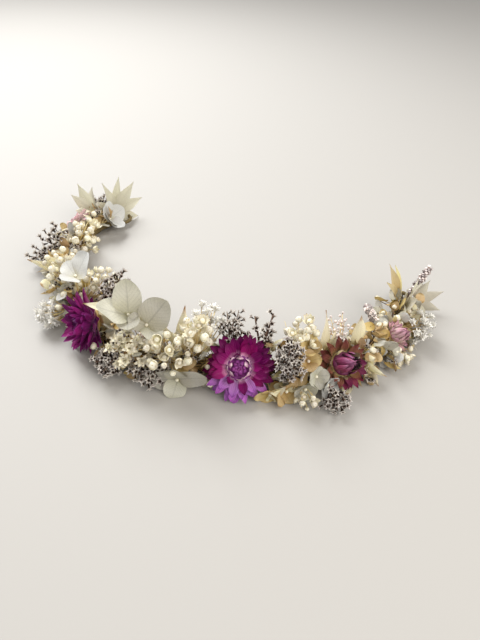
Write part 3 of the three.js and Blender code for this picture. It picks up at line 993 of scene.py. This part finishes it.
def leaf_sprig(piece, place, rng, leaves=((0, 1.0), (32, 0.8), (-30, 0.72)), finish="leaf", half_width=2.9 * MM,
               fork=0.1):
    """Leaves fanned out in the CAD leaf's own plane: each is a turn in degrees and a share of its length.

    fork is how far out the leaves spring from, as a share of the whole sprig.
    """
    facing = place.flat_way
    tip, base = place.above(place.end), place.above(mix(ON_TAPE, place.end, fork))
    length = np.linalg.norm(tip - base)
    way = unit(tip - base)
    piece.add(tube(stem_path(place, base + place.out * MM, rng), 0.45 * MM), "straw")
    for turn, share in leaves:
        end = base + about(facing, way, radians(turn)) * length * share
        tilt = unit(facing + LEAF_TILT * rng.normal() * np.cross(facing, way))
        add_leaf(piece, base, end, tilt, half_width * mix(0.55, 1, share), rng, finish, rng.uniform(-0.12, 0.16))


SEPAL_ROWS, SEPAL_WIDTH = oval(15, 2.2, 0.82)


def add_sepal(piece, base, way, facing, length, half_width, rng, finish, curl, sides):
    """A broad rounded sepal with a waved edge, curled towards facing at its end."""
    across = unit(np.cross(facing, way))
    facing = unit(np.cross(way, across))
    end = base + way * length + facing * curl * length
    control = base + way * length * 0.5 - facing * curl * length * 0.6
    spine = bezier(base, control, end, SEPAL_ROWS)
    twist = SEPAL_ROWS * rng.uniform(-0.3, 0.3)
    width = half_width * np.maximum(SEPAL_WIDTH, 0.04)
    add_sheet(piece, spine, facing, across, twist, width, rng, finish, cup=0.14, thickness=0.12 * MM, sides=sides,
              rows=SEPAL_ROWS)


def floret(*place, sepals, spin=0, leaves=(), finish="sepal"):
    """One floret. place: where its heart is (mm along the wire, across it, and outwards). spin: its turn (degrees).

    Each sepal has its turn about the floret's axis, how far it opens from that axis (degrees), its length and its
    width (mm). leaves: pointed ones that spring from the same heart, written as the sepals are.
    """
    return place, radians(spin), finish, (("sepal", sepals), ("leaf", leaves))


HEART_DEPTH = 4 * MM  # how far a floret's heart lies within the CAD solid's outer end
FLORET_LEAN = 0.06  # how far a floret leans out, for each mm that it is off the middle of its group


def hydrangea_floret(piece, place, rng, florets):
    """Florets on stalks, with broad papery sepals."""
    for offset, spin, finish, kinds in florets:
        axis = unit(place.out + FLORET_LEAN * (offset[0] * place.along + offset[1] * place.across))
        along = across_of(axis, place.along)
        heart = place.above(place.end - HEART_DEPTH)
        heart = heart + np.array(offset) @ np.array([place.along, place.across, place.out]) * MM
        add_stalk(piece, stem_path(place, heart, rng), 0.4, 0.28)
        add_aimed(piece, BUD, heart - axis * 0.2 * MM, axis, 0.7 * MM, "bud", rng)
        for kind, rows in kinds:
            for turn, opening, length, width in rows:
                way, facing = leaning(axis, about(axis, along, radians(turn) + spin), radians(opening))
                length, half_width = length * MM, width * MM / 2
                if kind == "leaf":
                    add_leaf(piece, heart, heart + way * length, facing, half_width, rng, "leaf", 0.08)
                else:
                    curl = rng.uniform(0.0, 0.14)
                    add_sepal(piece, heart, way, facing, length, half_width, rng, finish, curl, 13)


SPECIES = {make.__name__: make for make in (
    limonium_sprig, bud_spray, pearl_spray, statice_tuft, mottled_spike, leaf_sprig, hydrangea_floret)}

# What sets single sprigs apart from others of their kind.
OWN_LOOK = {
    "hydrangea_floret_1": dict(florets=[floret(-6, 0, 1, finish="white sepal", sepals=[
        (15, 62, 9, 9), (100, 66, 9, 10), (182, 74, 13, 10), (240, 70, 10, 9), (305, 70, 9, 9)])]),
    "hydrangea_floret_2": dict(florets=[
        floret(0, 0, 0, finish="white sepal", sepals=[(95, 34, 12, 13), (190, 62, 8, 9), (300, 74, 8, 9)])]),
    "hydrangea_floret_3": dict(florets=[
        floret(-1, 0, 0, sepals=[(115, 28, 15, 11), (215, 60, 13, 12.5), (300, 80, 9, 9)], leaves=[(192, 82, 18, 5)]),
        floret(6.5, 0, -2, sepals=[(80, 30, 14, 13), (330, 75, 9, 9), (200, 80, 8, 8)])]),
    "hydrangea_floret_4": dict(florets=[
        floret(0, 0, 0, sepals=[(28, 72, 15, 8), (95, 60, 9, 9), (188, 82, 11, 10), (262, 74, 9, 9)])]),
    "hydrangea_floret_5": dict(florets=[
        floret(x, y, 0, spin=spin, finish="golden sepal", leaves=[(20, 80, 9, 4), (250, 84, 8, 4)], sepals=[
            (72, 60, 7, 6), (144, 70, 7, 6), (216, 80, 8, 6), (308, 70, 7, 6)])
        for x, y, spin in ((-1.6, -0.6, 30), (4.6, 1, 140))]),
    "hydrangea_floret_6": dict(florets=[
        floret(x, y, z, spin=spin, finish=finish, sepals=[
            (0, 62, 5.5, 6), (90, 55, 5.5, 6), (180, 66, 5.5, 6), (270, 58, 5.5, 6)])
        for x, y, z, spin, finish in (
            (0, 5, 0, 10, "golden sepal"), (-4, 0, -1, 50, "golden sepal"), (3, -1, 0, 100, "sepal"),
            (-1, -6, -1, 30, "sepal"), (1, 10, -2, 70, "golden sepal"), (8, -5, -2, 45, "white sepal"))]),
    "leaf_sprig_1": dict(finish="white leaf", half_width=3.3 * MM, fork=0.16, leaves=(
        (0, 1.0), (28, 0.95), (-30, 0.95), (60, 0.85), (-64, 0.8), (95, 0.6), (-98, 0.55))),
    "leaf_sprig_2": dict(finish="white leaf", half_width=3.2 * MM, fork=0.25, leaves=(
        (0, 1.0), (34, 0.9), (-32, 0.9), (70, 0.7), (-68, 0.7))),
    "leaf_sprig_5": dict(half_width=3.5 * MM, leaves=((0, 1.0), (24, 0.6))),
    "leaf_sprig_7": dict(half_width=3.5 * MM, leaves=((0, 1.0), (24, 0.6))),
    "leaf_sprig_8": dict(finish="white leaf", half_width=3.2 * MM, fork=0.3, leaves=(
        (0, 1.0), (38, 0.95), (-38, 0.95), (78, 0.85), (-76, 0.8), (115, 0.6))),
    "leaf_sprig_9": dict(finish="yellow leaf", leaves=((0, 1.0), (24, 0.9), (-26, 0.8), (55, 0.6))),
    "leaf_sprig_10": dict(finish="white leaf", fork=0.25, leaves=((0, 1.0), (36, 0.9), (-36, 0.85), (72, 0.7))),
    "limonium_sprig_2": dict(twigs=8, stars=5),
    "limonium_sprig_3": dict(twigs=7, stars=5),
    "limonium_sprig_7": dict(twigs=8, stars=6),
    "limonium_sprig_8": dict(twigs=5, stars=5, stout=1.8),
    "limonium_sprig_9": dict(twigs=16),
    "limonium_sprig_10": dict(twigs=7, stars=5),
    "statice_tuft_2": dict(florets=10, petals=14, size=4.2 * MM, finish="bud"),
    "mottled_spike_2": dict(bits=70),
    "bud_spray_7": dict(buds=6, size=1.4 * MM),
    "bud_spray_8": dict(buds=9, size=1.3 * MM),
}


FIRST_SPRIG_SEED = 1000


def foliage():
    for seed, node in enumerate(sorted(BODY_OF)):
        kind = node.rsplit("_", 1)[0]
        if kind not in SPECIES:
            continue
        rng = np.random.default_rng(FIRST_SPRIG_SEED + seed)
        piece = Piece(node)
        SPECIES[kind](piece, Place(node), rng, **OWN_LOOK.get(node, {}))
        finish_piece(piece)


# ---- tape, bound stems and wire eyes ----

TAPE_RADIUS = 2.75 * MM
TAPE_STEP = 0.3 * MM  # how far each turn of tape stands over the one below
TAPE_PITCH = 7 * MM
TAPE_WEAVE = 20 * MM  # the length of tape that CREPE_FOLDS is counted over
BORE_RADIUS = 1.15 * MM


def wrapped_tube(distances, sides=22):
    """A closed tube along a stretch of the wire, wrapped in a spiral of tape, with a bore along its middle."""
    centre_line = wire.at(distances)
    distance = distances_along(centre_line)[:, None]
    turn = np.arange(sides)[None] * 2 * pi / sides
    lap = np.mod(distance / TAPE_PITCH + turn / (2 * pi), 1)
    outer_radius = TAPE_RADIUS + TAPE_STEP * np.minimum(1, (1 - lap) * 1.25)
    spokes = np.cos(turn)[..., None] * wire.outward(distances)[:, None] + np.sin(turn)[..., None] * UP
    outer = centre_line[:, None] + spokes * outer_radius[..., None]
    inner = centre_line[:, None] + spokes * BORE_RADIUS
    count = len(centre_line)
    lining, last = count * sides, (count - 1) * sides
    i = np.arange(count - 1)[:, None] * sides
    j = np.arange(sides)
    k = (j + 1) % sides
    skin = np.stack([i + j, i + j + sides, i + k + sides, i + k], -1).reshape(-1, 4)
    first_ring = np.stack([j, k, k + lining, j + lining], -1)
    last_ring = np.stack([last + k, last + j, last + j + lining, last + k + lining], -1)
    tip, across = (np.concatenate([value.reshape(-1), np.zeros(lining)])
                   for value in (lap, distance / TAPE_WEAVE + 0 * turn))
    return Shape(np.vstack([outer.reshape(-1, 3), inner.reshape(-1, 3)]),
                 np.vstack([skin, (skin + lining)[:, ::-1], first_ring, last_ring]), NO_TRIS, tip, across)


SCRAP_SEPALS = ["golden sepal", "golden sepal", "sepal", "sepal", "leaf", "white sepal", "olive sepal"]
SCRAP_LEAVES = ["leaf", "golden sepal", "yellow leaf"]
SCRAP_STALKS = ["straw", "straw", "brown twig"]
SEPALS_TO, LEAVES_TO, BUDS_TO, STARS_TO = 0.45, 0.62, 0.78, 0.9  # shares of the stalks, added up. The rest end bare
FILLER_STEP = 0.3 * MM
FILLER_LOW = 2 * MM  # no scrap's foot is lower than this
FAN_FROM, FAN_SWEEP = -24, 184  # degrees round the wire, from its outward side
FLOWER_ROOM = 1.1  # of a flower head's radius
FLOWERS = [turned_head(node.removeprefix("strawflower_")) for node in BODY_OF if node.startswith("strawflower_")]
# Each flower head, and the hindmost point of its back.
FACES = [(flower, flower.points[(flower.points @ flower.axis).argmin()]) for flower in FLOWERS]


def in_front_of_flower(point):
    """Whether a point lies in the room in front of a flower head, which is kept clear."""
    for flower, back in FACES:
        offset = point - back
        from_axis = np.linalg.norm(np.cross(offset, flower.axis))
        if offset @ flower.axis > 1 * MM and from_axis < FLOWER_ROOM * flower.radius:
            return True
    return False


def add_filler(piece, start, end, rng):
    """Short stalks bound in all along the tape, with scraps of petal, leaf, bud and star on their ends."""
    for distance in np.arange(start, end, FILLER_STEP):
        fan = radians(FAN_FROM + FAN_SWEEP * rng.beta(1.5, 1.8))
        out = cos(fan) * wire.outward(distance) + sin(fan) * UP
        along = wire.along(distance) * rng.choice([-1, 1])
        reach = rng.uniform(3, 11) * MM
        foot = wire.at(distance) + out * ON_TAPE
        sideways = along * reach * rng.uniform(0.2, 0.9)
        if not start < wire.nearest(foot + sideways) < end:
            along, sideways = -along, -sideways
        tip = foot + out * reach * 0.8 + sideways
        if not start < wire.nearest(tip) < end or in_front_of_flower(tip):
            continue
        tip[2] = max(tip[2], FILLER_LOW)
        path = bezier(foot - along * 3 * MM, foot + along * 0.3 * reach, tip, 6)
        add_stalk(piece, path, 0.34, 0.16, rng.choice(SCRAP_STALKS), rng.uniform(), sides=4)
        way = unit(out * rng.uniform(0.1, 0.9) + along * rng.uniform(-0.6, 1) + rng.normal(0, 0.35, 3))
        facing = unit(out + 0.5 * UP + rng.normal(0, 0.45, 3))
        scrap = rng.uniform()
        if scrap < SEPALS_TO:
            size = rng.uniform(4, 7) * MM
            add_sepal(piece, tip - way * 0.3 * size, way, facing, size, size * rng.uniform(0.32, 0.46), rng,
                      rng.choice(SCRAP_SEPALS), rng.uniform(0, 0.3), 7)
        elif scrap < LEAVES_TO:
            size = rng.uniform(5, 8) * MM
            add_leaf(piece, tip - way * 0.3 * size, tip + way * 0.7 * size, facing, rng.uniform(0.9, 1.5) * MM, rng,
                     rng.choice(SCRAP_LEAVES), rng.uniform(-0.2, 0.3))
        elif scrap < BUDS_TO:
            add_bud(piece, tip, way, rng.uniform(0.9, 1.5) * MM, rng)
        elif scrap < STARS_TO:
            for _ in range(4):
                axis = unit(way + rng.normal(0, 0.7, 3))
                add_aimed(piece, STAR, tip + axis * 0.5 * MM, axis, rng.uniform(1.0, 1.4) * MM, "papery star", rng)


TAPE_ROW = 0.8 * MM
BEND_REACH = 12 * MM  # a length of wire before and after a joint; the points it marks are worked out but not used
BEND_GAP = 1.6 * MM  # the bound stems stop this far before and after a joint
BESIDE_BEND = 11 * MM
FIRST_STEM_SEED = 300


def tape_and_stems():
    """Two half lengths of wrapped stems, each lying across the joint that it crosses."""
    bend = {name: wire.nearest(joint["pos_m"]) for name, joint in JOINTS.items()}
    left, right = bend["left_arm_bend"], bend["right_arm_bend"]
    low, high, middle = 0.0, wire.length, (left + right) / 2
    halves = [
        ("tape_wrap_left_half", low, middle, left, ("left_arm", "crown_middle"),
         ["tape_wrap_left", "tape_wrap_middle"]),
        ("tape_wrap_right_half", middle, high, right, ("crown_middle", "right_arm"), ["tape_wrap_right"]),
    ]
    for name, start, end, at, bodies, nodes in halves:
        distances = np.arange(start, end + 0.5 * MM, TAPE_ROW)
        distances[-1] = end
        piece = Piece(name)
        piece.add(wrapped_tube(distances), "floral tape")
        thing = piece.finish()
        tuple(wire.at(at - BEND_REACH))
        tuple(wire.at(at + BEND_REACH))
        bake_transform(thing)
        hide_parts(*nodes)
    stretches = {
        "left_arm": (low, left - BEND_GAP),
        "crown_middle": (left + BEND_GAP, right - BEND_GAP),
        "right_arm": (right + BEND_GAP, high),
    }
    for seed, (body, (start, end)) in enumerate(stretches.items()):
        piece = Piece(f"bound_stems_{body}")
        rng = np.random.default_rng(FIRST_STEM_SEED + seed)
        add_filler(piece, start, end, rng)
        # Beside a bend, the ones that would cross it were left out, so a second layer makes up for them.
        if start > low:
            add_filler(piece, start, start + BESIDE_BEND, rng)
        if end < high:
            add_filler(piece, end - BESIDE_BEND, end, rng)
        thing = piece.finish()
        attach(thing, body)


EYE_ROWS = 64
EYE_GAP = 0.12  # radians of the ring left open on each side of its neck
EYE_NECK = 3 * MM
EYE_LAP = 5  # rows of the ring to one turn of its tape


def wire_eye(place):
    """A ring of taped wire at one end of the crown, with the two ends of its wire side by side in a short neck."""
    node = f"wire_eye_{place}"
    points = node_points(node)
    low, high = points.min(0), points.max(0)
    centre = (low + high) / 2
    outer, _, thick = (high - low) / 2
    ring_radius = outer - 1.1 * thick
    way = wire.along(wire.nearest(centre)) * (1 if place == "left" else -1)
    side = np.cross(UP, way)
    turn = np.linspace(EYE_GAP, 2 * pi - EYE_GAP, EYE_ROWS)
    line = centre + ring_radius * (np.outer(np.cos(turn), way) + np.outer(np.sin(turn), side))
    neck = centre + way * (ring_radius + EYE_NECK)
    before = [neck + side * 0.5 * MM, line[0] + way * 0.6 * MM]
    after = [line[-1] + way * 0.6 * MM, neck - side * 0.5 * MM]
    line = np.vstack([before, line, after])
    lap = np.mod(np.arange(len(line)) / EYE_LAP, 1)
    piece = Piece(node)
    piece.add(tube(line, thick * (0.92 + 0.16 * lap), 10), "floral tape")
    finish_piece(piece)


# ---- the object ----

HEADS = {
    "pink_left": dict(head=PALE_HEAD, seed=11),
    "magenta_left": dict(head=SIDE_HEAD, seed=12),
    # The violet accent paints sheen on the lower side of the middle head, whose bracts catch the light there.
    "magenta_centre": dict(head=OPEN_HEAD, seed=13, accent=Accent("violet bract", radians(-95), 0.5)),
    "burgundy_right": dict(
        head=BURGUNDY_HEAD, seed=14, hole=radians(-12), accent=Accent("wine bract", radians(-40), 0.58)),
    "pink_right": dict(head=HALF_CLOSED_HEAD, seed=15),
}
for head_name, look in HEADS.items():
    strawflower(head_name, **look)
    glue_pad(head_name, look["seed"] + 20)
foliage()
tape_and_stems()
for end_name in ("left", "right"):
    wire_eye(end_name)
steel = wire_material()
for node in CORE_WIRES:
    frame["nodes"][node].data.materials.clear()
    frame["nodes"][node].data.materials.append(steel)


# ---- floor and light ----

FLOOR_HALF = 4.0
FLOOR_CORNERS = [(-1, -1), (1, -1), (1, 1), (-1, 1)]
FLOOR_COLOR = (0.43, 0.415, 0.39, 1)
WORLD_COLOR = (1.0, 0.98, 0.96, 1)
WORLD_STRENGTH = 0.62


def make_floor():
    mesh = bpy.data.meshes.new("floor")
    mesh.from_pydata([(x * FLOOR_HALF, y * FLOOR_HALF, 0) for x, y in FLOOR_CORNERS], [], [(0, 1, 2, 3)])
    n = Nodes("pale floor")
    n.finish(n.surface(Base_Color=FLOOR_COLOR, Roughness=0.7))
    mesh.materials.append(n.material)
    add_object("floor", mesh)


def make_light(name, place, size, power, color):
    """A soft square light that shines at the crown."""
    data = bpy.data.lights.new(name, "AREA")
    data.size, data.energy, data.color = size, power, color
    light = add_object(name, data)
    light.location = place
    light.rotation_euler = (-Vector(place)).to_track_quat("-Z", "Y").to_euler()


def make_world():
    world = bpy.data.worlds.new("studio")
    world.use_nodes = True
    background = world.node_tree.nodes["Background"]
    background.inputs["Color"].default_value = WORLD_COLOR
    background.inputs["Strength"].default_value = WORLD_STRENGTH
    bpy.context.scene.world = world


make_floor()
make_world()
make_light("window", place=(-0.35, 0.4, 0.6), size=0.45, power=8.4, color=(0.98, 0.99, 1.0))
make_light("fill", place=(0.45, -0.35, 0.5), size=0.6, power=3.6, color=(1.0, 0.95, 0.88))
bpy.context.scene.view_settings.view_transform = "Standard"
